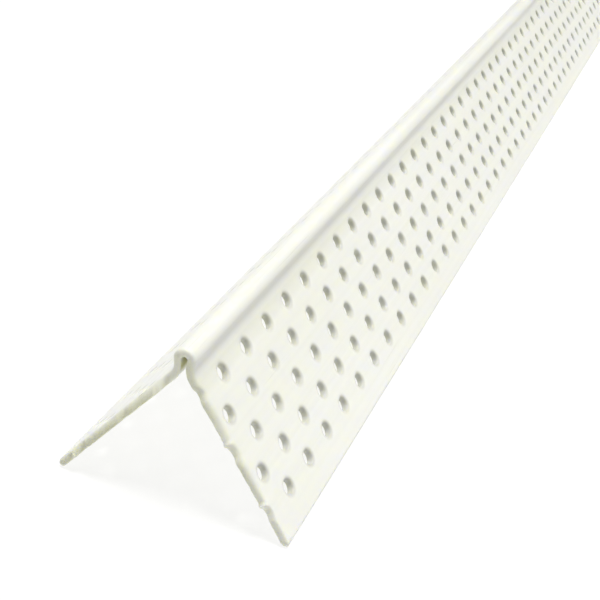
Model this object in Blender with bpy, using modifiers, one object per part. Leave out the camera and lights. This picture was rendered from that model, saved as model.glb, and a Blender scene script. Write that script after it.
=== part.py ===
"""Perforated PVC corner bead, one extruded length of stock, modelled in metres.

The bead lies as a ridge: both flange edges on the ground, the hollow nose on top,
the length along Y, the plane of symmetry at X = 0 and the cut end at the -Y end.
"""
import math

import bmesh
import bpy
from mathutils import Matrix, Vector

# Section of the extrusion
FLANGE_WIDTH = 0.025
WALL = 0.001
INCLUDED_ANGLE = math.radians(75.5)
NOSE_RADIUS = 0.00135
NOSE_RISE = 0.00015
NOSE_PINCH = math.radians(6)
NECK_RADIUS = 0.0028

# Stock length
STOCK_LENGTH = 2.5

# Punched holes, in staggered rows on each flange
HOLE_DIAMETER = 0.0026
FIRST_ROW = 0.0044
ROW_SPACING = 0.004
LEAST_EDGE_MARGIN = 0.004
HOLE_PITCH = 0.0066
EVEN_ROW_LAG = 0.0003
CUT_TO_FIRST_HOLE = 0.00585
PUNCHED_RUN = 0.2
CUTTER_OVERRUN = 0.0005

# Facets of round shapes
HOLE_SIDES = 8
NOSE_STEPS = 10
NECK_STEPS = 4
EDGE_STEPS = 6

# Merge distance of the modelling steps, as a share of the wall
WELD_SHARE = 0.001

HALF_ANGLE = INCLUDED_ANGLE / 2
DOWN_FLANGE = Vector((math.sin(HALF_ANGLE), 0, -math.cos(HALF_ANGLE)))
OUT_OF_FLANGE = Vector((math.cos(HALF_ANGLE), 0, math.sin(HALF_ANGLE)))
EDGE_RADIUS = WALL / 2
WELD_DISTANCE = WELD_SHARE * WALL
CORNER_HEIGHT = (
    (FLANGE_WIDTH - EDGE_RADIUS) * math.cos(HALF_ANGLE)
    + EDGE_RADIUS * (1 + math.sin(HALF_ANGLE))
)


def clear_scene():
    for scene_object in list(bpy.data.objects):
        bpy.data.objects.remove(scene_object, do_unlink=True)


def make_collection(name):
    collection = bpy.data.collections.new(name)
    bpy.context.scene.collection.children.link(collection)
    return collection


def pvc_material():
    material = bpy.data.materials.new("cream_pvc")
    material.use_nodes = True
    shader = material.node_tree.nodes["Principled BSDF"]
    shader.inputs["Base Color"].default_value = (0.89, 0.90, 0.82, 1)
    shader.inputs["Roughness"].default_value = 0.35
    shader.inputs["Metallic"].default_value = 0
    return material


def arc(centre, radius, start, end, steps):
    """Points of an arc in the section plane, its angles counted from +X towards +Z."""
    points = []
    for step in range(steps + 1):
        angle = start + (end - start) * step / steps
        points.append(centre + radius * Vector((math.cos(angle), math.sin(angle))))
    return points


def half_centreline_frame():
    """Centres of the three arcs that the right half of the wall's middle line follows."""
    middle_radius = NOSE_RADIUS - WALL / 2
    corner = Vector((0, CORNER_HEIGHT))
    flange_normal = Vector((OUT_OF_FLANGE.x, OUT_OF_FLANGE.z))
    side_normal = Vector((math.cos(NOSE_PINCH), -math.sin(NOSE_PINCH)))
    nose_centre = corner + Vector((0, NOSE_RISE))

    # The neck's arc touches the side of the nose and the flange, both from outside
    side_offset = side_normal.dot(nose_centre) + middle_radius + NECK_RADIUS
    flange_offset = flange_normal.dot(corner) - WALL / 2 + NECK_RADIUS
    lines = Matrix((side_normal, flange_normal))
    neck_centre = lines.inverted() @ Vector((side_offset, flange_offset))

    down = Vector((DOWN_FLANGE.x, DOWN_FLANGE.z))
    edge_centre = (
        corner + (FLANGE_WIDTH - EDGE_RADIUS) * down - EDGE_RADIUS * flange_normal
    )
    return nose_centre, neck_centre, edge_centre


def section_outline():
    """Closed outline of the wall: outer side, right edge, inner side, left edge."""
    nose_centre, neck_centre, edge_centre = half_centreline_frame()
    quarter = math.pi / 2
    neck_start = math.pi - NOSE_PINCH
    neck_end = math.pi + HALF_ANGLE

    outer = arc(nose_centre, NOSE_RADIUS, quarter, -NOSE_PINCH, NOSE_STEPS)
    outer += arc(neck_centre, NECK_RADIUS - WALL / 2, neck_start, neck_end, NECK_STEPS)
    edge = arc(edge_centre, EDGE_RADIUS, HALF_ANGLE, HALF_ANGLE - math.pi, EDGE_STEPS)
    inner = arc(neck_centre, NECK_RADIUS + WALL / 2, neck_end, neck_start, NECK_STEPS)
    inner += arc(nose_centre, NOSE_RADIUS - WALL, -NOSE_PINCH, quarter, NOSE_STEPS)

    right_half = outer + edge + inner
    left_half = [Vector((-point.x, point.y)) for point in reversed(right_half[1:-1])]
    return right_half + left_half


def extruded_stock(name, outline, length, collection):
    """A flat outline extruded both ways along Y, as a welded mesh object."""
    curve = bpy.data.curves.new(name + "_outline", "CURVE")
    curve.dimensions = "2D"
    curve.fill_mode = "BOTH"
    curve.extrude = length / 2
    spline = curve.splines.new("POLY")
    spline.points.add(len(outline) - 1)
    for spline_point, point in zip(spline.points, outline):
        spline_point.co = (point.x, point.y, 0, 1)
    spline.use_cyclic_u = True

    guide = bpy.data.objects.new(name + "_outline", curve)
    collection.objects.link(guide)
    guide.rotation_euler = (math.pi / 2, 0, 0)
    bpy.context.view_layer.update()

    evaluated = guide.evaluated_get(bpy.context.evaluated_depsgraph_get())
    mesh = bpy.data.meshes.new_from_object(evaluated)
    mesh.name = name
    shape = bmesh.new()
    shape.from_mesh(mesh)
    bmesh.ops.remove_doubles(shape, verts=shape.verts, dist=WELD_DISTANCE)
    bmesh.ops.recalc_face_normals(shape, faces=shape.faces)
    shape.to_mesh(mesh)
    shape.free()

    stock = bpy.data.objects.new(name, mesh)
    stock.matrix_world = guide.matrix_world.copy()
    collection.objects.link(stock)
    bpy.data.objects.remove(guide, do_unlink=True)
    return stock


def add_array(target, name, count, step):
    array = target.modifiers.new(name, "ARRAY")
    array.count = count
    array.use_relative_offset = False
    array.use_constant_offset = True
    array.constant_offset_displace = step


def hole_cutter(name, first_row, row_count, first_hole, hole_count, collection):
    """Punches for every other row of both flanges, one facing pin repeated and mirrored."""
    half_depth = WALL / 2 + CUTTER_OVERRUN
    corner = Vector((0, first_hole, CORNER_HEIGHT))
    centre = corner + first_row * DOWN_FLANGE - WALL / 2 * OUT_OF_FLANGE
    turn = Matrix.Rotation(math.pi / 2 - HALF_ANGLE, 4, "Y")
    facet_turn = Matrix.Rotation(math.pi / HOLE_SIDES, 4, "Z")

    shape = bmesh.new()
    bmesh.ops.create_cone(
        shape,
        cap_ends=True,
        segments=HOLE_SIDES,
        radius1=HOLE_DIAMETER / 2,
        radius2=HOLE_DIAMETER / 2,
        depth=2 * half_depth,
        matrix=Matrix.Translation(centre) @ turn @ facet_turn,
    )
    mesh = bpy.data.meshes.new(name)
    shape.to_mesh(mesh)
    shape.free()

    cutter = bpy.data.objects.new(name, mesh)
    collection.objects.link(cutter)
    cutter.hide_render = True
    cutter.display_type = "WIRE"
    add_array(cutter, "along_bead", hole_count, (0, HOLE_PITCH, 0))
    add_array(cutter, "across_flange", row_count, 2 * ROW_SPACING * DOWN_FLANGE)
    mirror = cutter.modifiers.new("other_flange", "MIRROR")
    mirror.use_mirror_merge = False
    return cutter


def cut(target, cutter):
    boolean = target.modifiers.new(cutter.name, "BOOLEAN")
    boolean.operation = "DIFFERENCE"
    boolean.solver = "EXACT"
    boolean.object = cutter


def apply_cuts(target):
    """Makes the cut shape the object's own mesh, free of the slivers a cut leaves."""
    evaluated = target.evaluated_get(bpy.context.evaluated_depsgraph_get())
    mesh = bpy.data.meshes.new_from_object(evaluated)
    shape = bmesh.new()
    shape.from_mesh(mesh)
    bmesh.ops.triangulate(shape, faces=shape.faces)
    bmesh.ops.dissolve_degenerate(shape, dist=WELD_DISTANCE, edges=shape.edges)
    shape.to_mesh(mesh)
    shape.free()
    target.modifiers.clear()
    target.data = mesh


def make_corner_bead():
    parts = make_collection("corner_bead")
    cutters = make_collection("cutters")
    bead = extruded_stock("corner_bead", section_outline(), STOCK_LENGTH, parts)
    bead.data.materials.append(pvc_material())

    # The cut end passes through the punches just before the first whole holes
    cut_end = -STOCK_LENGTH / 2
    first_hole = cut_end + CUT_TO_FIRST_HOLE
    punched_width = FLANGE_WIDTH - FIRST_ROW - LEAST_EDGE_MARGIN
    row_count = 1 + math.floor(punched_width / ROW_SPACING)
    hole_count = 1 + math.floor(PUNCHED_RUN / HOLE_PITCH)

    odd_rows = hole_cutter(
        "odd_row_punches", FIRST_ROW, (row_count + 1) // 2,
        first_hole - HOLE_PITCH, hole_count + 1, cutters,
    )
    even_rows = hole_cutter(
        "even_row_punches", FIRST_ROW + ROW_SPACING, row_count // 2,
        first_hole - HOLE_PITCH / 2 + EVEN_ROW_LAG, hole_count, cutters,
    )
    cut(bead, odd_rows)
    cut(bead, even_rows)
    apply_cuts(bead)
    bead.data.shade_smooth()
    bead.data.set_sharp_from_angle(angle=math.radians(40))


clear_scene()
make_corner_bead()
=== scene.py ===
"""Perforated PVC corner bead: the full length with every punched hole, its rough
saw-cut near end, the cream plastic, and the camera, floor and light of the photo.
"""
import math

import bmesh
import bpy
import numpy as np
from mathutils import Matrix, Vector, noise
from mathutils.geometry import delaunay_2d_cdt


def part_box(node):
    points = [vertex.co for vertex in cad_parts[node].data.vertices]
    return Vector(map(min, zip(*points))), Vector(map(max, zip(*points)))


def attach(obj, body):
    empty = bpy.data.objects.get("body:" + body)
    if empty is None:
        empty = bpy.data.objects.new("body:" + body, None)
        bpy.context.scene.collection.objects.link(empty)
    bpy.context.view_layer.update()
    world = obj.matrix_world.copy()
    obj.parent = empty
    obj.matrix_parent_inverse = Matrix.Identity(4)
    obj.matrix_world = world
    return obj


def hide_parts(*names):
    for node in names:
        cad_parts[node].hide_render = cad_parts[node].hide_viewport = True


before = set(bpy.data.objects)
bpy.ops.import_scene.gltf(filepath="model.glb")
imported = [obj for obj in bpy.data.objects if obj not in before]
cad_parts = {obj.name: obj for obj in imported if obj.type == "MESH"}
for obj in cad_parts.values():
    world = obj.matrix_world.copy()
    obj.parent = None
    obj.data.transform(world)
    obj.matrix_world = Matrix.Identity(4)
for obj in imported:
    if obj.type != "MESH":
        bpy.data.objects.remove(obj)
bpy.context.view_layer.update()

NODE = "corner_bead"
MM = 0.001

# Section of the stock, the same named sizes as the CAD model, in millimetres
FLANGE_WIDTH = 25.0
WALL = 1.0
HALF_ANGLE = math.radians(75.5 / 2)
NOSE_RADIUS = 1.35
NOSE_RISE = 0.15
NOSE_PINCH = math.radians(6)
NECK_RADIUS = 2.8
EDGE_RADIUS = WALL / 2

# Punching
HOLE_RADIUS = 1.3
FIRST_ROW = 4.4
ROW_SPACING = 4.0
ROW_COUNT = 5
HOLE_PITCH = 6.6
FIRST_HOLE = 5.85
EVEN_ROW_LAG = 0.3

# The frame's own box gives the ends, the floor and the height of the corner
BOX_LOW, BOX_HIGH = [np.array(corner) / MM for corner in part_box(NODE)]
CUT_Y, FAR_Y = BOX_LOW[1], BOX_HIGH[1]
LENGTH = FAR_Y - CUT_Y
CORNER_Z = BOX_HIGH[2] - NOSE_RADIUS - NOSE_RISE
SIN, COS = math.sin(HALF_ANGLE), math.cos(HALF_ANGLE)

# How finely each stretch is made: sides of a hole, arc steps, and rims of a hole
# as (added radius, depth below the outer face) from the plate down to the inner face
NEAR = dict(
    sides=24, nose=14, neck=7, edge=10,
    rims=((0.24, 0.0), (0.07, 0.012), (-0.11, 0.04), (-0.26, 0.1), (-0.35, 0.2),
          (-0.39, 0.42), (-0.36, 0.88), (-0.32, 1.0)),
)
FAR = dict(
    sides=12, nose=10, neck=5, edge=8,
    rims=((0.22, 0.0), (-0.08, 0.08), (-0.32, 0.4), (-0.32, 1.0)),
)

# Whole cells in a row of the near piece, how many pieces make up the rest, and the columns
# of their unrolled maps
NEAR_CELLS = 40
FAR_PIECES = 3
NEAR_COLUMNS, FAR_COLUMNS = 2, 3

# The wall's cut face from its outer to its inner lip: share of the wall's depth, set back
# from the cut, roughness and khaki stain; first the rough near cut, then the plain far one
LIPS = (
    (0.0, 0.42, 0.3, 0.15),
    (0.06, 0.2, 0.6, 0.3),
    (0.2, 0.04, 1.0, 0.6),
    (0.5, 0.0, 1.0, 1.0),
    (0.78, 0.0, 1.0, 1.0),
    (0.92, 0.06, 0.8, 0.9),
    (1.0, 0.22, 0.4, 0.7),
)
PLAIN_LIPS = (
    (0.0, 0.08, 0, 0.2),
    (0.06, 0.02, 0, 0.5),
    (0.2, 0.0, 0, 0.6),
    (0.5, 0.0, 0, 0.6),
    (0.8, 0.0, 0, 0.6),
    (0.94, 0.02, 0, 0.5),
    (1.0, 0.08, 0, 0.2),
)

# How far apart the points along a cut lie, and the section lines between a cut and the
# first cells, as shares of the way to them
CUT_STEP = 0.22
NEAR_LINES = (0.64, 0.82, 1)
FAR_LINES = (0.4, 1)

# The near cut waves inside the end plane: inset, then waves as (per mm, height, seed).
# Each lip has grain of its own as (per mm, height), its seed counted up from lip to lip,
# and the tearing falls off with this power from the outer lip to the inner one.
CUT_INSET = 0.13
CUT_WAVES = ((0.35, 0.16, 3.1), (1.9, 0.12, 7.7))
LIP_GRAIN = (3.7, 0.07)
LIP_SEEDS = (20, 9)
TEAR_FALL = 1.3

# All of this noise: how much it is widened, and the plane that it is read in
NOISE_GAIN = 0.7
NOISE_SLICE = 0.37

# By flange (1 right, -1 left) and distance from the corner: how far the outer lip is torn
# back, how strongly the khaki shows, and how round the outer lip is. Above the corner,
# on the nose, distances are negative.
TORN_BACK = {
    1: ((0, 2, 6, 10, 14, 25), (0.0, 0.15, 0.35, 0.45, 0.25, 0.0)),
    -1: ((2, 4, 6, 10, 18, 24), (0.0, 0.6, 1.0, 0.85, 0.4, 0.1)),
}
CUT_STAIN = {
    1: ((-3, 0, 2, 7, 9, 12, 15, 19, 25), (0.2, 0.5, 0.6, 0.55, 0.25, 0.3, 0.65, 0.2, 0.3)),
    -1: ((-3, 0, 2, 5, 8, 20, 25), (0.2, 0.5, 0.35, 0.3, 1.0, 1.0, 0.7)),
}
LIP_ROUNDING = {1: ((0, 16, 20, 25), (1, 1, 0.4, 0.5)), -1: ((0, 25), (1, 1))}

# Burrs left by the saw: flange, distance from the corner, height
BURRS = ((1, 10.9, 0.4), (1, 19.25, 0.4), (-1, 6.4, 0.3), (-1, 21.9, 0.4))
BURR_WIDTH = 0.22

# Painted shade in a hole by depth in the wall, and how much of it the left flange has
HOLE_SHADE_BY_DEPTH = ((0, 0.04, 0.1, 0.2, 0.4, 0.88, 1), (0, 0.5, 0.85, 1, 1, 0.85, 0))
LEFT_HOLE_SHADE = 0.15

# The painted shade in the hollow of the nose: it ends this far under the corner and fades in over
# this height
HOLLOW_END = 2.2
HOLLOW_FADE = 1.2

# How near the rough cut may come to the mouth of a whole hole
HOLE_CLEARANCE = 0.08

# On the unrolled map: gap between columns, where the cut faces lie beyond the plate, how
# far the wall of a hole folds inwards, and the margin round it all
COLUMN_GAP = 2
CAP_AWAY = 3.5
EDGE_CAP_ASIDE = 0.3
EDGE_FAN_AWAY = 4.2
EDGE_FAN_ASIDE = 1.1
WALL_FOLD = 0.6
MAP_MARGIN = 0.002

# Triangles of the end plate: rows of extra points behind the lip, and how far these stay
# from the points of a hole's ring and from its mouth; how far behind the lip the khaki
# reaches, and the tolerance of the triangulation
EXTRA_ROWS = (0.28, 0.7)
EXTRA_FROM_POINTS = 0.2
EXTRA_FROM_MOUTH = 0.15
STAIN_FADE = 0.5
TRIANGLE_EPSILON = 1e-5

# Joining and shading of the meshes
SAME_PLACE = 1e-6
WELD_M = 2e-6
SHARP_ANGLE = math.radians(50)
FLAT_FACE_WEIGHT = 60

# Sockets of a Mix node in colour mode, which share their names with its other modes
MIX_FACTOR, MIX_A, MIX_B, MIX_RESULT = 0, 6, 7, 2

# Colours of the plastic: two tones of its clouds, its die lines and rubbed patches, two
# tones of the sawn face, and the painted shade in the holes, the hollow and the groove
CREAM = ((0.868, 0.871, 0.80, 1), (0.895, 0.898, 0.843, 1))
DIE_LINE = (0.835, 0.84, 0.768, 1)
RUBBED = (0.74, 0.74, 0.68, 1)
SAWN = ((0.67, 0.675, 0.50, 1), (0.77, 0.773, 0.62, 1))
HOLE_SHADE_TINT = (0.45, 0.45, 0.40, 1)
HOLLOW_SHADE_TINT = (0.68, 0.68, 0.39, 1)
GROOVE_SHADE_TINT = (0.6, 0.6, 0.48, 1)

# How strongly each of them shows at the most
DIE_LINE_SHARE = 0.55
RUBBED_SHARE = 0.5
HOLE_SHADE_SHARE = 0.65
GROOVE_SHADE_SHARE = 0.32

# The groove's painted shade ends this far past the middle of the first row
GROOVE_SHADE_PAST_ROW = 0.6

# Light in the plastic, how shiny it is, and its relief in metres
SCATTER_COLOUR = (1.0, 0.95, 0.62)
SCATTER_M = 0.00018
SPECULAR, IOR = 0.4, 1.5
ROUGHNESS = (0.28, 0.42)
WORN_ROUGHNESS = 0.3
FINE_LINE_SHARE = 0.35
LINE_RELIEF, LINE_RELIEF_M = 0.5, 0.00002
SAWN_RELIEF_M = 0.00006

# Floor: half its side, its gap below the bead, its grey and its glow
FLOOR_HALF_M = 20.0
FLOOR_GAP_M = 0.0002
FLOOR_GREY = (0.2, 0.2, 0.2, 1)
FLOOR_ROUGHNESS, FLOOR_SPECULAR = 0.9, 0.1
FLOOR_GLOW = (1, 1, 0.99, 1)
FLOOR_GLOW_STRENGTH = 0.82

# Light: the sky's colour by height, and one soft sun
SKY = ((0.02, (0.95, 0.95, 0.93, 1)), (0.08, (0.12, 0.12, 0.115, 1)))
SUN_TOWARDS = (0.07, 0.04, 1.0)
SUN_AWAY_M = 2
SUN_STRENGTH = 3.55
SUN_ANGLE = math.radians(24)

# Camera, found from the hole grid and the edges in the photo: its axes in the bead's own,
# its place in millimetres from the outer corner at the near cut, and its focal length
CAMERA_RIGHT = (0.9259, 0.3557, 0.1272)
CAMERA_FORWARD = (-0.2552, 0.8372, -0.4837)
CAMERA_FROM_CORNER = (42.98, -100.77, 70.09)
FOCAL_PIXELS, PHOTO_PIXELS = 1182.9, 600
SENSOR_WIDTH = 36
NEAREST_M = 0.01


def arc_points(centre, radius, angles):
    return centre + radius * np.stack([np.cos(angles), np.sin(angles)], -1)


def half_section(nose_steps, neck_steps):
    """Outer and inner points (x, z) of the right half, from the top of the nose to the flat."""
    corner = np.array([0.0, CORNER_Z])
    normal = np.array([COS, SIN])
    side = np.array([math.cos(NOSE_PINCH), -math.sin(NOSE_PINCH)])
    nose_centre = corner + (0, NOSE_RISE)
    offsets = (
        side @ nose_centre + NOSE_RADIUS - WALL / 2 + NECK_RADIUS,
        normal @ corner - WALL / 2 + NECK_RADIUS,
    )
    neck_centre = np.linalg.solve(np.stack([side, normal]), offsets)
    nose_angles = np.linspace(math.pi / 2, -NOSE_PINCH, nose_steps + 1)
    neck_angles = np.linspace(math.pi - NOSE_PINCH, math.pi + HALF_ANGLE, neck_steps + 1)[1:]
    outer = np.concatenate([
        arc_points(nose_centre, NOSE_RADIUS, nose_angles),
        arc_points(neck_centre, NECK_RADIUS - WALL / 2, neck_angles),
    ])
    inner = np.concatenate([
        arc_points(nose_centre, NOSE_RADIUS - WALL, nose_angles),
        arc_points(neck_centre, NECK_RADIUS + WALL / 2, neck_angles),
    ])
    return outer, inner


def run_lengths(points):
    steps = np.linalg.norm(np.diff(points, axis=0), axis=1)
    return np.concatenate([[0], np.cumsum(steps)])


FINE_OUTER, FINE_INNER = half_section(nose_steps=60, neck_steps=30)
FLAT_START = (CORNER_Z - FINE_OUTER[-1][1]) / COS
FLAT_END = FLANGE_WIDTH - EDGE_RADIUS
ARC_OUT, ARC_IN = run_lengths(FINE_OUTER)[-1], run_lengths(FINE_INNER)[-1]

# Where the first cell of the odd rows begins, and how many whole ones the length holds
CELLS_START = FIRST_HOLE - HOLE_PITCH / 2
CELL_COUNT = int((LENGTH - CELLS_START) // HOLE_PITCH)

# Places in the unrolled sheet, counted from the top of the nose over the outer face,
# round the flange's edge and back over the inner face
SHEET_EDGE = ARC_OUT + FLAT_END - FLAT_START
SHEET_BACK = SHEET_EDGE + math.pi * EDGE_RADIUS
SHEET_HALF = SHEET_BACK + FLAT_END - FLAT_START + ARC_IN


def flat_xz(s, depth):
    """Section point at s down the flange's outer face, at a depth into the wall."""
    return np.stack([s * SIN - depth * COS, CORNER_Z - s * COS - depth * SIN], -1)


def on_sheet(s, inner=False):
    return SHEET_BACK + FLAT_END - s if inner else ARC_OUT + s - FLAT_START


class Patchwork:
    """The patches of one piece: points in millimetres, their places on the unrolled
    sheet, how far they show the cut, how much painted shade they get in a hole or in the
    hollow nose, and faces by point number."""

    def __init__(self):
        self.points, self.sheet, self.marks, self.faces = [], [], [], []
        self.count = 0

    def add(self, xz, y, sheet_u, sheet_v, faces, side, flip=False, cut=0.0, punch=0.0,
            hollow=0.0):
        xz = np.asarray(xz, float).reshape(-1, 2)
        size = len(xz)
        y, sheet_u, sheet_v, cut, punch, hollow = [
            np.broadcast_to(np.asarray(value, float).ravel(), size)
            for value in (y, sheet_u, sheet_v, cut, punch, hollow)
        ]
        self.points.append(np.stack([side * xz[:, 0], y, xz[:, 1]], -1))
        self.sheet.append(np.stack([side * sheet_u, sheet_v], -1))
        self.marks.append(np.stack([cut, punch, hollow], -1))
        turn = (side < 0) != flip
        for face in faces:
            numbers = [int(number) + self.count for number in face]
            self.faces.append(numbers[::-1] if turn else numbers)
        self.count += size


def grid_faces(rows, columns):
    """Quads of a grid of points, numbered row by row."""
    faces = []
    for row in range(rows - 1):
        for column in range(columns - 1):
            a = row * columns + column
            faces.append((a, a + columns, a + columns + 1, a + 1))
    return faces


def add_grid(work, xz, y, sheet_u, side, flip=False, cut=0.0, hollow=0.0):
    """A grid: section points xz down the rows, places along the bead across the columns."""
    rows, columns = y.shape
    work.add(
        np.repeat(xz, columns, axis=0), y, np.repeat(sheet_u, columns), y,
        grid_faces(rows, columns), side, flip, cut,
        hollow=np.repeat(np.broadcast_to(hollow, rows), columns),
    )


def add_fringe(work, coarse_xz, coarse_u, fine_xz, fine_u, coarse_y, fine_y, side, flip):
    """One band between a line with few points and a line with many, flat as it is."""
    faces = []
    first_fine = len(coarse_y)
    for step in range(len(coarse_y) - 1):
        low, high = coarse_y[step] - SAME_PLACE, coarse_y[step + 1] + SAME_PLACE
        between = [
            first_fine + number for number, y in enumerate(fine_y) if low <= y <= high
        ]
        faces.append([step] + between + [step + 1])
    xz = np.concatenate([
        np.repeat([coarse_xz], len(coarse_y), axis=0), np.repeat([fine_xz], len(fine_y), axis=0)
    ])
    sheet_u = np.concatenate([np.full(len(coarse_y), coarse_u), np.full(len(fine_y), fine_u)])
    y = np.concatenate([coarse_y, fine_y])
    work.add(xz, y, sheet_u, y, faces, side, flip)


def round_hole(sides):
    """Directions (s, y) round a hole, the first towards the first point of a cell's border."""
    angles = (np.arange(sides) - sides / 6) * 2 * math.pi / sides
    return np.stack([np.cos(angles), np.sin(angles)], -1)


def cell_border(sides, above, below):
    """The border of one hole's cell as points (s, y) about the cell's centre."""
    long_steps, short_steps = sides // 3, sides // 6
    half = HOLE_PITCH / 2
    corners = [(below, -half), (below, half), (-above, half), (-above, -half), (below, -half)]
    steps = (long_steps, short_steps, long_steps, short_steps)
    return np.concatenate([
        np.linspace(corners[number], corners[number + 1], count + 1)[:-1]
        for number, count in enumerate(steps)
    ])


def row_lag(row):
    """How far a row's holes sit past the middle of their cells."""
    return EVEN_ROW_LAG if row % 2 else 0.0


def hole_radii(rims):
    """Radii of a hole's rings, their radii on the sheet, where the wall lies folded into
    the hole itself, and their depths."""
    added, depths = np.array(rims).T
    radii = HOLE_RADIUS + added
    drop = np.maximum(depths - depths[depths < 0.5 * WALL].max(), 0)
    return radii, radii - WALL_FOLD * drop, depths


def ring_faces(ring_count, sides):
    """Quads between rings of points, one ring after the other."""
    faces = []
    for ring in range(ring_count - 1):
        a, b = ring * sides, (ring + 1) * sides
        for number in range(sides):
            after = (number + 1) % sides
            faces.append((a + number, a + after, b + after, b + number))
    return np.array(faces)


def hole_shade_marks(rims, side):
    """How much painted shade each ring of a hole gets: darker down the rolled rim and the
    wall, and none at both faces of the plate."""
    shade_share = 1.0 if side > 0 else LEFT_HOLE_SHADE
    depths = [depth for _, depth in rims]
    return shade_share * np.interp(depths, *HOLE_SHADE_BY_DEPTH)


def hollow_shade(inner_line):
    """How strongly painted shade darkens each point of the inner side, by how far up in
    the hollow nose it lies, from 0 to 1.
    """
    return np.clip((inner_line[:, 1] - CORNER_Z + HOLLOW_END) / HOLLOW_FADE, 0, 1)


def add_cells(work, detail, row, centres, side):
    """All whole cells of one row: plate round each hole, rims, wall and inner plate."""
    s_centre = FIRST_ROW + row * ROW_SPACING
    above = s_centre - FLAT_START if row == 0 else ROW_SPACING / 2
    sides, rims = detail["sides"], detail["rims"]
    border, turn = cell_border(sides, above, ROW_SPACING / 2), round_hole(sides)
    radii, sheet_radii, depths = hole_radii(rims)
    middle = np.array([0.0, row_lag(row)])
    rings = [border] + [middle + radius * turn for radius in radii]
    sheet_rings = [border] + [middle + radius * turn for radius in sheet_radii]
    ring_depths = np.concatenate([[0], depths])
    # How much painted shade each ring gets: none on the plate, more down the rim and the wall
    hole_shaded = np.concatenate([[0], hole_shade_marks(rims, side)])

    faces, inner_faces = ring_faces(len(rings), sides), ring_faces(2, sides)
    flat_rings, flat_sheet = np.concatenate(rings), np.concatenate(sheet_rings)
    flat_depths = np.repeat(ring_depths, sides)
    flat_hole_shaded = np.repeat(hole_shaded, sides)
    inner_rings = np.concatenate([rings[-1], border])

    size, inner_size = len(flat_rings), len(inner_rings)
    shifts = np.arange(len(centres))[:, None, None]
    all_faces = (faces[None] + shifts * size).reshape(-1, 4)
    all_inner = (inner_faces[None] + shifts * inner_size).reshape(-1, 4)
    s = np.tile(flat_rings[:, 0] + s_centre, len(centres))
    y = (flat_rings[None, :, 1] + centres[:, None]).ravel()
    sheet_u = np.tile(on_sheet(flat_sheet[:, 0] + s_centre), len(centres))
    sheet_v = (flat_sheet[None, :, 1] + centres[:, None]).ravel()
    work.add(
        flat_xz(s, np.tile(flat_depths, len(centres))), y, sheet_u, sheet_v, all_faces, side,
        punch=np.tile(flat_hole_shaded, len(centres)),
    )
    s = np.tile(inner_rings[:, 0] + s_centre, len(centres))
    y = (inner_rings[None, :, 1] + centres[:, None]).ravel()
    work.add(
        flat_xz(s, np.full(len(s), WALL)), y, on_sheet(s, True), y, all_inner, side,
    )


def add_stretch(work, detail, first_cell, cell_count, even_count):
    """A stretch of whole cells with its nose, neck, margin and rounded edge, both flanges."""
    odd = FIRST_HOLE + (first_cell + np.arange(cell_count)) * HOLE_PITCH
    even = FIRST_HOLE + (first_cell + 0.5 + np.arange(even_count)) * HOLE_PITCH
    coarse_y = CUT_Y + np.append(odd - HOLE_PITCH / 2, odd[-1] + HOLE_PITCH / 2)
    fine_y = CUT_Y + np.linspace(
        odd[0] - HOLE_PITCH / 2, odd[-1] + HOLE_PITCH / 2, cell_count * detail["sides"] // 3 + 1
    )
    for side in (1, -1):
        for row in range(ROW_COUNT):
            add_cells(work, detail, row, CUT_Y + (even if row % 2 else odd), side)
        add_shaped_bands(work, detail, coarse_y, fine_y, side)


def add_shaped_bands(work, detail, coarse_y, fine_y, side):
    """Nose, neck, margin and edge over a stretch, between evenly spaced section lines."""
    outer, inner = half_section(detail["nose"], detail["neck"])
    outer_u, inner_u = run_lengths(outer), run_lengths(inner)
    inner_u = SHEET_HALF - inner_u
    rows = len(outer) - 1
    y = np.tile(coarse_y, (rows, 1))
    add_grid(work, outer[:-1], y, outer_u[:-1], side)
    add_grid(
        work, inner[:-1], y, inner_u[:-1], side, flip=True, hollow=hollow_shade(inner[:-1])
    )
    add_fringe(work, outer[-2], outer_u[-2], outer[-1], ARC_OUT, coarse_y, fine_y, side, False)
    add_fringe(
        work, inner[-2], inner_u[-2], inner[-1], SHEET_HALF - ARC_IN, coarse_y, fine_y, side, True
    )
    last_row = FIRST_ROW + (ROW_COUNT - 0.5) * ROW_SPACING
    for depth in (0.0, WALL):
        within = depth > 0
        add_fringe(
            work,
            flat_xz(FLAT_END, depth), on_sheet(FLAT_END, within),
            flat_xz(last_row, depth), on_sheet(last_row, within),
            coarse_y, fine_y, side, not within,
        )
    edge, edge_u = edge_arc(detail["edge"])
    add_grid(work, edge, np.tile(coarse_y, (len(edge), 1)), edge_u, side)


def edge_arc(steps, radius=EDGE_RADIUS):
    """The flange's full-round edge in the section plane, from outer to inner face."""
    centre = flat_xz(FLAT_END, EDGE_RADIUS)
    angles = np.linspace(HALF_ANGLE, HALF_ANGLE - math.pi, steps + 1)
    return arc_points(centre, radius, angles), SHEET_EDGE + EDGE_RADIUS * (HALF_ANGLE - angles)


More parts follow.
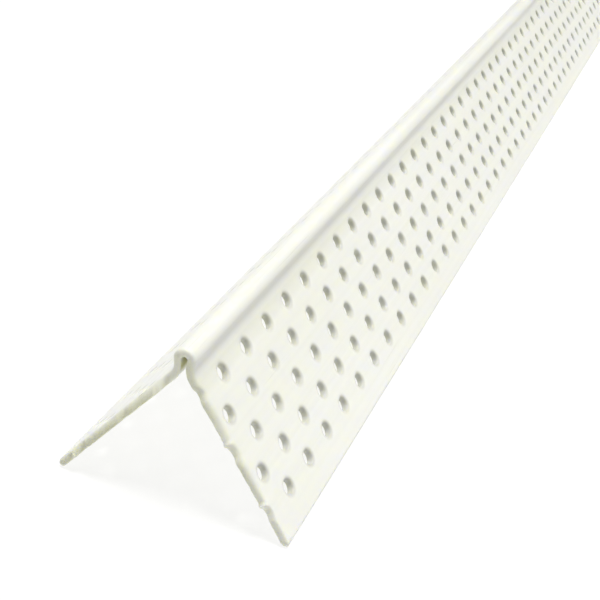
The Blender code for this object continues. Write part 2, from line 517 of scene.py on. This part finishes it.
def make_piece(name, work, columns, material):
    """A mesh object from the patches, welded, with its unrolled map, the stain of the cut
    and the painted shade of the holes and the hollow nose.
    """
    points = np.clip(np.concatenate(work.points), BOX_LOW, BOX_HIGH) * MM
    sheet = np.concatenate(work.sheet)
    marks = np.concatenate(work.marks)
    mesh = bpy.data.meshes.new(name)
    mesh.from_pydata(points.tolist(), [], work.faces)

    corner_points = np.empty(len(mesh.loops), np.int32)
    mesh.loops.foreach_get("vertex_index", corner_points)
    face_starts = np.empty(len(mesh.polygons), np.int32)
    face_sizes = np.empty(len(mesh.polygons), np.int32)
    mesh.polygons.foreach_get("loop_start", face_starts)
    mesh.polygons.foreach_get("loop_total", face_sizes)

    # The sheet is long and narrow, so the map holds it in columns side by side
    uv = sheet[corner_points]
    low, high = uv[:, 1].min(), uv[:, 1].max()
    middle = np.add.reduceat(uv[:, 1], face_starts) / face_sizes
    column_height = (high - low) / columns
    column = np.clip(((middle - low) // column_height).astype(int), 0, columns - 1)
    column = np.repeat(column, face_sizes)
    uv[:, 0] += column * (2 * SHEET_HALF + COLUMN_GAP)
    uv[:, 1] -= column * column_height
    uv -= uv.min(axis=0)
    uv = MAP_MARGIN + (1 - 2 * MAP_MARGIN) * uv / uv.max(axis=0)
    layer = mesh.uv_layers.new(name="OFBake")
    layer.data.foreach_set("uv", uv.ravel())

    # Marks on the points: the stain of the cut, and the painted shade in the holes and the hollow
    for number, mark in enumerate(("cut_wear", "hole_painted_shade", "hollow_painted_shade")):
        attribute = mesh.attributes.new(mark, "FLOAT", "POINT")
        attribute.data.foreach_set("value", marks[:, number])

    shape = bmesh.new()
    shape.from_mesh(mesh)
    bmesh.ops.remove_doubles(shape, verts=shape.verts, dist=WELD_M)
    shape.to_mesh(mesh)
    shape.free()
    mesh.materials.append(material)
    mesh.shade_smooth()
    mesh.set_sharp_from_angle(angle=SHARP_ANGLE)
    piece = bpy.data.objects.new(name, mesh)
    bpy.context.scene.collection.objects.link(piece)
    weights = piece.modifiers.new("flat_faces_lead", "WEIGHTED_NORMAL")
    weights.mode = "FACE_AREA"
    weights.weight = FLAT_FACE_WEIGHT
    weights.keep_sharp = True
    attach(piece, "root")
    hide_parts(NODE)


def rough(side, place, per_mm, height, seed):
    """Smooth seeded noise along the cut, from 0 to height; the halves meet on the nose."""
    from_top = place + ARC_OUT - FLAT_START
    spot = Vector((side * from_top * per_mm, seed, NOISE_SLICE))
    return height * min(max(0.5 + NOISE_GAIN * noise.noise(spot), 0), 1)


def bites(s, centres, reach):
    """How far the half holes at the cut reach into the stock at s."""
    deepest = np.zeros_like(s)
    for centre in centres:
        across = np.clip(HOLE_RADIUS ** 2 - (s - centre) ** 2, 0, None)
        deepest = np.maximum(deepest, np.sqrt(across) - reach)
    return deepest


def whole_holes(places):
    """How deep the cut may reach at each place before it meets a whole hole."""
    centre_y = CELLS_START + EVEN_ROW_LAG
    radius = HOLE_RADIUS + NEAR["rims"][0][0] + HOLE_CLEARANCE
    centres = FIRST_ROW + ROW_SPACING * np.arange(1, ROW_COUNT, 2)
    apart = np.abs(np.asarray(places)[:, None] - centres).min(axis=1)
    return centre_y - np.sqrt(np.clip(radius ** 2 - apart ** 2, 0, None))


class End:
    """One end of the stock: where it lies, which way leads into the stock, and its lips.
    The first whole cells start at odd_start from it, half a pitch deeper on even rows."""

    def __init__(self, plain):
        self.plain = plain
        self.lips = PLAIN_LIPS if plain else LIPS
        self.last_lip = len(self.lips) - 1
        self.origin, self.heading = (FAR_Y, -1) if plain else (CUT_Y, 1)
        self.odd_start = LENGTH - CELLS_START - CELL_COUNT * HOLE_PITCH if plain else CELLS_START
        self.lines = self.place(self.odd_start * np.array(FAR_LINES if plain else NEAR_LINES))

    def place(self, inwards):
        """The place along the bead that lies so far inside the end plane."""
        return self.origin + self.heading * inwards

    def cut_profile(self, stations, side, on_flat):
        """How far the cut lies inside the end plane at each station of the section."""
        odd_rows = [FIRST_ROW + row * ROW_SPACING for row in range(0, ROW_COUNT, 2)]
        reach = HOLE_PITCH / 2 - self.odd_start
        bite = bites(stations, odd_rows, reach) if on_flat else np.zeros_like(stations)
        if self.plain:
            return bite
        wave = np.array([
            CUT_INSET + sum(rough(side, place, *shape) for shape in CUT_WAVES)
            for place in stations
        ])
        for burr_side, place, height in BURRS:
            if burr_side == side:
                wave -= height * np.exp(-((stations - place) / BURR_WIDTH) ** 2)
        return np.hypot(np.maximum(wave, 0), bite)

    def lip_y(self, cut, places, number, side):
        """Where a lip runs along the bead, for a cut this deep at each place."""
        share, set_back, roughness, _ = self.lips[number]
        if self.plain:
            return self.place(cut + set_back)
        per_mm, height = LIP_GRAIN
        seed = LIP_SEEDS[0] + LIP_SEEDS[1] * number
        grain = [rough(side, place, per_mm, height * roughness, seed) for place in places]
        torn = np.interp(places, *TORN_BACK[side]) * (1 - share) ** TEAR_FALL
        rounding = set_back * np.interp(places, *LIP_ROUNDING[side])
        inwards = np.minimum(cut + rounding + torn + np.array(grain), whole_holes(places))
        return self.place(inwards)

    def lip_stain(self, places, number, side):
        stain = self.lips[number][3]
        if self.plain:
            return np.full(len(places), stain)
        return stain * np.interp(places, *CUT_STAIN[side])


def add_end(work, detail, plain):
    """One end of the stock: its cap with rounded lips, and the faces up to the first cells."""
    end = End(plain)
    flat_s = np.linspace(FLAT_START, FLAT_END, round((FLAT_END - FLAT_START) / CUT_STEP) + 1)
    for side in (1, -1):
        flat_cut = end.cut_profile(flat_s, side, on_flat=True)
        add_cap(work, detail, end, side, flat_s, flat_cut)
        edge_y, edge_stain = add_edge_cap(work, detail, end, side, flat_s[-1:], flat_cut[-1:])
        add_end_bands(work, detail, end, side, edge_y, edge_stain)
        for depth, number in ((0.0, 0), (WALL, end.last_lip)):
            lip = end.lip_y(flat_cut, flat_s, number, side)
            stain = end.lip_stain(flat_s, number, side)
            add_end_plate(work, detail, end, side, flat_s, lip, stain, depth)
        add_end_holes(work, detail, end, side)


def add_cap(work, detail, end, side, flat_s, flat_cut):
    """The cut face over nose, neck and flat: strips across the wall from lip to lip."""
    outer_arc, inner_arc = half_section(detail["nose"], detail["neck"])
    arc_u = run_lengths(outer_arc)
    arc_s = arc_u - ARC_OUT + FLAT_START
    places = np.concatenate([arc_s, flat_s[1:]])
    cut = np.concatenate([end.cut_profile(arc_s, side, on_flat=False), flat_cut[1:]])
    outer_line = np.concatenate([outer_arc, flat_xz(flat_s[1:], 0.0)])
    inner_line = np.concatenate([inner_arc, flat_xz(flat_s[1:], WALL)])
    sheet_u = np.concatenate([arc_u, on_sheet(flat_s[1:])])
    strips = [
        (
            outer_line + share * (inner_line - outer_line),
            end.lip_y(cut, places, number, side),
            sheet_u,
            np.full(len(places), end.place(share * WALL - CAP_AWAY)),
            end.lip_stain(places, number, side),
        )
        for number, (share, _, _, _) in enumerate(end.lips)
    ]
    xz, y, sheet_u, sheet_v, stain = [np.concatenate(values) for values in zip(*strips)]
    faces = grid_faces(len(end.lips), len(places))
    work.add(xz, y, sheet_u, sheet_v, faces, side, end.plain, cut=stain)


def add_edge_cap(work, detail, end, side, place, cut):
    """The cut face of the rounded edge: half rings about the edge's centre, and a fan.
    Gives the outer ring's places along the bead and its stain."""
    half, steps = len(end.lips) // 2, detail["edge"]
    centre = flat_xz(FLAT_END, EDGE_RADIUS)
    unit, _ = edge_arc(steps, 1.0)
    blend = np.linspace(0, 1, steps + 1)
    sheet_u = SHEET_EDGE + EDGE_CAP_ASIDE + blend * math.pi * EDGE_RADIUS
    rings = []
    for number in range(half):
        across = end.last_lip - number
        share_out, share_in = end.lips[number][0], end.lips[across][0]
        radii = np.linspace(0.5 - share_out, share_in - 0.5, steps + 1) * WALL
        first = end.lip_y(cut, place, number, side)[0]
        last = end.lip_y(cut, place, across, side)[0]
        rings.append((
            centre + (unit - centre) * radii[:, None],
            first + blend * (last - first),
            sheet_u,
            np.full(steps + 1, end.place(radii[0] - CAP_AWAY)),
            np.full(steps + 1, end.lip_stain(place, number, side)[0]),
        ))
    tip = (
        [centre], end.lip_y(cut, place, half, side), [SHEET_EDGE + EDGE_FAN_ASIDE],
        [end.place(-EDGE_FAN_AWAY)], end.lip_stain(place, half, side),
    )
    xz, y, sheet_u, sheet_v, stain = [np.concatenate(values) for values in zip(*rings, tip)]
    inner_ring, tip_number = (half - 1) * (steps + 1), half * (steps + 1)
    faces = grid_faces(half, steps + 1)
    faces += [(inner_ring + step, tip_number, inner_ring + step + 1) for step in range(steps)]
    work.add(xz, y, sheet_u, sheet_v, faces, side, end.plain, cut=stain)
    return rings[0][1], rings[0][4]


def add_end_bands(work, detail, end, side, edge_y, edge_stain):
    """Nose, neck and rounded edge from the lips to the first cells."""
    outer, inner = half_section(detail["nose"], detail["neck"])
    outer_u, inner_u = run_lengths(outer), SHEET_HALF - run_lengths(inner)
    arc_s = outer_u - ARC_OUT + FLAT_START
    cut = end.cut_profile(arc_s, side, on_flat=False)
    outer_y, inner_y = [end.lip_y(cut, arc_s, number, side) for number in (0, end.last_lip)]
    outer_stain, inner_stain = [
        end.lip_stain(arc_s, number, side) for number in (0, end.last_lip)
    ]
    edge, edge_u = edge_arc(detail["edge"])
    for line, line_u, lip, stain, shade, flip in (
        (outer, outer_u, outer_y, outer_stain, 0.0, end.plain),
        (inner, inner_u, inner_y, inner_stain, hollow_shade(inner), not end.plain),
        (edge, edge_u, edge_y, edge_stain, 0.0, end.plain),
    ):
        y = np.column_stack([lip, np.tile(end.lines, (len(line), 1))])
        stained = np.zeros_like(y)
        stained[:, 0] = stain
        add_grid(work, line, y, line_u, side, flip, cut=stained, hollow=shade)


def inside_polygon(points, outline):
    """Which points lie inside the closed outline."""
    x, y = points[:, 0][:, None], points[:, 1][:, None]
    ax, ay = outline[:, 0], outline[:, 1]
    bx, by = np.roll(ax, -1), np.roll(ay, -1)
    crosses = (ay > y) != (by > y)
    with np.errstate(divide="ignore", invalid="ignore"):
        at = ax + (y - ay) * (bx - ax) / (by - ay)
    return (np.count_nonzero(crosses & (x < at), axis=1) % 2) == 1


def add_end_plate(work, detail, end, side, flat_s, lip, stain, depth):
    """The flat face between the cut's lip and the first whole cells, triangulated."""
    long_steps, short_steps = detail["sides"] // 3, detail["sides"] // 6
    first = end.place(end.odd_start)
    half = end.heading * HOLE_PITCH / 2
    stairs = []
    for row in range(ROW_COUNT):
        centre = FIRST_ROW + row * ROW_SPACING
        top = FLAT_START if row == 0 else centre - ROW_SPACING / 2
        foot = centre + ROW_SPACING / 2
        level = first + (half if row % 2 else 0)
        stairs += [(s, level) for s in np.linspace(top, foot, short_steps + 1)]
        if row < ROW_COUNT - 1:
            climb = np.linspace(first, first + half, long_steps // 2 + 1)[1:-1]
            stairs += [(foot, y) for y in (climb if row % 2 == 0 else climb[::-1])]
    stairs.append((FLAT_END, first))
    outline = list(zip(flat_s, lip))
    outline += [(FLAT_END, y) for y in end.lines[:-1]]
    outline += stairs[::-1]
    outline += [(FLAT_START, y) for y in end.lines[-2::-1]]
    outline = np.array(outline)

    add, _ = detail["rims"][0] if depth == 0 else detail["rims"][-1]
    radius = HOLE_RADIUS + add
    centres = np.array([
        [FIRST_ROW + row * ROW_SPACING, first + row_lag(row)] for row in range(1, ROW_COUNT, 2)
    ])
    rings = [centre + radius * round_hole(detail["sides"]) for centre in centres]

    # Extra points behind the lip keep the triangles short there
    extra = []
    for setback in EXTRA_ROWS:
        for s, y in zip(flat_s[1:-1:2], lip[1:-1:2]):
            spot = np.array([s, y + end.heading * setback])
            apart = min(np.linalg.norm(ring - spot, axis=1).min() for ring in rings)
            if apart > EXTRA_FROM_POINTS:
                extra.append(spot)
    extra = np.array(extra)
    from_centres = np.linalg.norm(extra[:, None] - centres[None], axis=2).min(axis=1)
    clear = from_centres > radius + EXTRA_FROM_MOUTH
    extra = extra[clear & inside_polygon(extra, outline)]

    points = np.concatenate([outline] + rings + [extra])
    edges, start = [], 0
    for loop in [outline] + rings:
        size = len(loop)
        edges += [(start + number, start + (number + 1) % size) for number in range(size)]
        start += size
    # The origin is moved near the work so that single precision is enough
    shift = points.mean(axis=0)
    result = delaunay_2d_cdt(
        [Vector(point) for point in points - shift], edges, [], 0, TRIANGLE_EPSILON)
    found, triangles = np.array(result[0]) + shift, np.array(result[2])
    for number, origins in enumerate(result[3]):
        if origins:
            found[number] = points[origins[0]]
    middle = found[triangles].mean(axis=1)
    keep = inside_polygon(middle, outline)
    for ring in rings:
        keep &= ~inside_polygon(middle, ring)
    triangles = triangles[keep]
    a, b, c = [found[triangles[:, corner]] for corner in range(3)]
    area = (b[:, 0] - a[:, 0]) * (c[:, 1] - a[:, 1]) - (b[:, 1] - a[:, 1]) * (c[:, 0] - a[:, 0])
    triangles = np.where((area < 0)[:, None], triangles[:, ::-1], triangles)
    behind = (found[:, 1] - np.interp(found[:, 0], flat_s, lip)) * end.heading
    stained = np.interp(found[:, 0], flat_s, stain) * np.clip(1 - behind / STAIN_FADE, 0, 1)
    work.add(
        flat_xz(found[:, 0], depth), found[:, 1], on_sheet(found[:, 0], depth > 0), found[:, 1],
        triangles, side, (depth > 0), cut=stained,
    )


def add_end_holes(work, detail, end, side):
    """Rims and walls of the even rows' first holes, which lie in the end stretch."""
    sides, rims = detail["sides"], detail["rims"]
    turn = round_hole(sides)
    radii, sheet_radii, depths = hole_radii(rims)
    # How much painted shade each ring of these holes gets
    hole_shaded = hole_shade_marks(rims, side)
    faces = ring_faces(len(rims), sides)
    for row in range(1, ROW_COUNT, 2):
        s_centre = FIRST_ROW + row * ROW_SPACING
        y_centre = end.place(end.odd_start) + row_lag(row)
        ring_points = np.concatenate([radius * turn for radius in radii])
        sheet_points = np.concatenate([radius * turn for radius in sheet_radii])
        work.add(
            flat_xz(ring_points[:, 0] + s_centre, np.repeat(depths, sides)),
            ring_points[:, 1] + y_centre,
            on_sheet(sheet_points[:, 0] + s_centre), sheet_points[:, 1] + y_centre,
            faces, side, punch=np.repeat(hole_shaded, sides),
        )


def node(tree, kind, place, **settings):
    made = tree.nodes.new(kind)
    made.location = place
    for name, value in settings.items():
        if name in made.inputs:
            made.inputs[name].default_value = value
        else:
            setattr(made, name, value)
    return made


def pvc_material():
    """Cream rigid PVC: faint die lines along the bead, cloudy colour, rubbed patches, a
    duller, more yellow cut face, and painted shade in the groove and the holes and, more
    yellow, in the hollow."""
    material = bpy.data.materials.new("cream_pvc_finish")
    material.use_nodes = True
    tree = material.node_tree
    link = tree.links.new
    shader = tree.nodes["Principled BSDF"]
    shader.inputs["Subsurface Weight"].default_value = 1.0
    shader.inputs["Subsurface Radius"].default_value = SCATTER_COLOUR
    shader.inputs["Subsurface Scale"].default_value = SCATTER_M
    shader.inputs["Specular IOR Level"].default_value = SPECULAR
    shader.inputs["IOR"].default_value = IOR

    place = node(tree, "ShaderNodeTexCoord", (-1500, 0))

    def noise_texture(where, scale, detail, stretch=1.0, turn=(0, 0, 0)):
        mapping = node(tree, "ShaderNodeMapping", (where[0] - 200, where[1]))
        mapping.inputs["Rotation"].default_value = turn
        mapping.inputs["Scale"].default_value = (1, stretch, 1)
        link(place.outputs["Object"], mapping.inputs["Vector"])
        texture = node(tree, "ShaderNodeTexNoise", where, Scale=scale, Detail=detail)
        link(mapping.outputs["Vector"], texture.inputs["Vector"])
        return texture.outputs["Fac"]

    # Reads a mark stored on the points, such as the stain of the cut and the painted shade of
    # holes and hollow
    def stain_and_shade_mark(where, name):
        return node(tree, "ShaderNodeAttribute", where, attribute_name=name).outputs["Fac"]

    def mix_colour(where, factor, first, second):
        mix = node(tree, "ShaderNodeMix", where, data_type="RGBA")
        for value, socket in ((first, mix.inputs[MIX_A]), (second, mix.inputs[MIX_B])):
            if isinstance(value, tuple):
                socket.default_value = value
            else:
                link(value, socket)
        link(factor, mix.inputs[MIX_FACTOR])
        return mix.outputs[MIX_RESULT]

    def spread(where, value, from_range, to_range=(0, 1)):
        made = node(tree, "ShaderNodeMapRange", where)
        names = ("From Min", "From Max", "To Min", "To Max")
        for name, number in zip(names, from_range + to_range):
            made.inputs[name].default_value = number
        link(value, made.inputs["Value"])
        return made.outputs["Result"]

    def calculate(where, operation, *values):
        made = node(tree, "ShaderNodeMath", where, operation=operation)
        for value, socket in zip(values, made.inputs):
            if isinstance(value, float):
                socket.default_value = value
            else:
                link(value, socket)
        return made.outputs[0]

    die_lines = noise_texture((-1100, 300), scale=1100, detail=3, stretch=0.006)
    fine_lines = noise_texture((-1100, 100), scale=4200, detail=2, stretch=0.004)
    clouds = noise_texture((-1100, -100), scale=55, detail=3, stretch=0.5)
    grain = noise_texture((-1100, -300), scale=9000, detail=2)
    scuffs = noise_texture(
        (-1100, -1100), scale=2600, detail=2, stretch=0.02, turn=(0.5, 0.1, 0.9))
    patches = noise_texture((-1100, -1300), scale=170, detail=2, stretch=0.4)
    cut_mark = stain_and_shade_mark((-1100, -500), "cut_wear")
    hole_shade_mark = stain_and_shade_mark((-1100, -700), "hole_painted_shade")
    hollow_shade_mark = stain_and_shade_mark((-1100, -900), "hollow_painted_shade")

    # Painted shade lies in the groove beside the nose and thins out down the flange
    across = node(tree, "ShaderNodeSeparateXYZ", (-1300, 500))
    link(place.outputs["Object"], across.inputs[0])
    distance = calculate((-1100, 500), "ABSOLUTE", across.outputs["X"])
    groove_side, groove_low = NOSE_RADIUS * MM, FLAT_START * SIN * MM
    groove_end = (FIRST_ROW + GROOVE_SHADE_PAST_ROW) * SIN * MM
    into = spread((-850, 550), distance, (groove_side, groove_low))
    out = spread((-850, 450), distance, (groove_low, groove_end), (GROOVE_SHADE_SHARE, 0))
    groove_shade_mark = calculate((-650, 500), "MULTIPLY", into, out)

    body = mix_colour((-650, 100), spread((-850, 0), clouds, (0.3, 0.7)), *CREAM)
    line_mark = spread((-850, 300), die_lines, (0.4, 0.7), (0, DIE_LINE_SHARE))
    lined = mix_colour((-450, 200), line_mark, body, DIE_LINE)
    rubbed_mark = calculate(
        (-650, -1100), "MULTIPLY",
        spread((-850, -1100), scuffs, (0.66, 0.74)),
        spread((-850, -1300), patches, (0.45, 0.6), (0, RUBBED_SHARE)))
    rubbed = mix_colour((-350, 250), rubbed_mark, lined, RUBBED)
    sawn = mix_colour((-450, -300), spread((-650, -300), grain, (0.3, 0.7)), *SAWN)
    # Painted shade: darker down the walls of the holes, in the hollow nose and in the groove
    hole_shade_amount = spread((-450, -500), hole_shade_mark, (0, 1), (0, HOLE_SHADE_SHARE))
    hole_shaded = mix_colour((-250, 100), hole_shade_amount, rubbed, HOLE_SHADE_TINT)
    shaded = mix_colour((-180, 0), hollow_shade_mark, hole_shaded, HOLLOW_SHADE_TINT)
    groove_shaded = mix_colour((-140, 0), groove_shade_mark, shaded, GROOVE_SHADE_TINT)
    colour = mix_colour((-100, 0), cut_mark, groove_shaded, sawn)
    link(colour, shader.inputs["Base Color"])

    dullness = spread((-450, -700), die_lines, (0.3, 0.7), ROUGHNESS)
    for mark in (cut_mark, rubbed_mark):
        dullness = calculate((-250, -700), "MULTIPLY_ADD", mark, WORN_ROUGHNESS, dullness)
    link(dullness, shader.inputs["Roughness"])

    heights = calculate((-650, -900), "MULTIPLY_ADD", fine_lines, FINE_LINE_SHARE, die_lines)
    bump = node(
        tree, "ShaderNodeBump", (-250, -900), Strength=LINE_RELIEF, Distance=LINE_RELIEF_M)
    link(heights, bump.inputs["Height"])
    sawn_bump = node(tree, "ShaderNodeBump", (-50, -900), Distance=SAWN_RELIEF_M)
    link(cut_mark, sawn_bump.inputs["Strength"])
    link(grain, sawn_bump.inputs["Height"])
    link(bump.outputs["Normal"], sawn_bump.inputs["Normal"])
    link(sawn_bump.outputs["Normal"], shader.inputs["Normal"])
    return material


def floor_material():
    material = bpy.data.materials.new("pale_floor")
    material.use_nodes = True
    shader = material.node_tree.nodes["Principled BSDF"]
    shader.inputs["Base Color"].default_value = FLOOR_GREY
    shader.inputs["Roughness"].default_value = FLOOR_ROUGHNESS
    shader.inputs["Specular IOR Level"].default_value = FLOOR_SPECULAR
    shader.inputs["Emission Color"].default_value = FLOOR_GLOW
    shader.inputs["Emission Strength"].default_value = FLOOR_GLOW_STRENGTH
    return material


def make_floor():
    mesh = bpy.data.meshes.new("studio_floor")
    half = FLOOR_HALF_M
    corners = [(-half, -half, 0), (half, -half, 0), (half, half, 0), (-half, half, 0)]
    mesh.from_pydata(corners, [], [(0, 1, 2, 3)])
    mesh.materials.append(floor_material())
    floor = bpy.data.objects.new("studio_floor", mesh)
    floor.location.z = BOX_LOW[2] * MM - FLOOR_GAP_M
    bpy.context.scene.collection.objects.link(floor)


def make_sky():
    world = bpy.data.worlds.new("studio")
    world.use_nodes = True
    tree = world.node_tree
    background = tree.nodes["Background"]
    place = node(tree, "ShaderNodeTexCoord", (-800, 0))
    height = node(tree, "ShaderNodeSeparateXYZ", (-600, 0))
    ramp = node(tree, "ShaderNodeValToRGB", (-400, 0))
    tree.links.new(place.outputs["Generated"], height.inputs[0])
    tree.links.new(height.outputs["Z"], ramp.inputs["Fac"])
    tree.links.new(ramp.outputs["Color"], background.inputs["Color"])
    for element, (position, colour) in zip(ramp.color_ramp.elements, SKY):
        element.position = position
        element.color = colour
    bpy.context.scene.world = world


def make_sun():
    light = bpy.data.lights.new("key_above", "SUN")
    light.energy = SUN_STRENGTH
    light.angle = SUN_ANGLE
    lamp = bpy.data.objects.new("key_above", light)
    lamp.rotation_euler = Vector(SUN_TOWARDS).to_track_quat("Z", "Y").to_euler()
    lamp.location = Vector(SUN_TOWARDS) * SUN_AWAY_M
    bpy.context.scene.collection.objects.link(lamp)


def make_camera():
    right = Vector(CAMERA_RIGHT).normalized()
    forward = Vector(CAMERA_FORWARD).normalized()
    up = right.cross(forward)
    right = forward.cross(up)
    place = Vector(np.add((0, CUT_Y, CORNER_Z), CAMERA_FROM_CORNER)) * MM
    camera = bpy.data.cameras.new("photo_camera")
    camera.sensor_width = SENSOR_WIDTH
    camera.lens = FOCAL_PIXELS / PHOTO_PIXELS * camera.sensor_width
    camera.clip_start = NEAREST_M
    holder = bpy.data.objects.new("photo_camera", camera)
    turn = Matrix((right, up, -forward)).transposed()
    holder.matrix_world = Matrix.Translation(place) @ turn.to_4x4()
    bpy.context.scene.collection.objects.link(holder)
    bpy.context.scene.camera = holder


def make_bead():
    """The near end with its own first cells, then the rest of the length in even pieces."""
    pvc = pvc_material()
    near = Patchwork()
    add_end(near, NEAR, plain=False)
    add_stretch(near, NEAR, 0, NEAR_CELLS, NEAR_CELLS)
    make_piece("bead_near_end", near, NEAR_COLUMNS, pvc)

    borders = np.linspace(NEAR_CELLS, CELL_COUNT, FAR_PIECES + 1).round().astype(int).tolist()
    for number, (first, last) in enumerate(zip(borders, borders[1:]), 1):
        stretch = Patchwork()
        is_last = number == FAR_PIECES
        add_stretch(stretch, FAR, first, last - first, last - first - is_last)
        if is_last:
            add_end(stretch, FAR, plain=True)
        make_piece(f"bead_length_{number}", stretch, FAR_COLUMNS, pvc)


make_camera()
make_bead()
make_floor()
make_sky()
make_sun()
bpy.context.scene.view_settings.view_transform = "Standard"
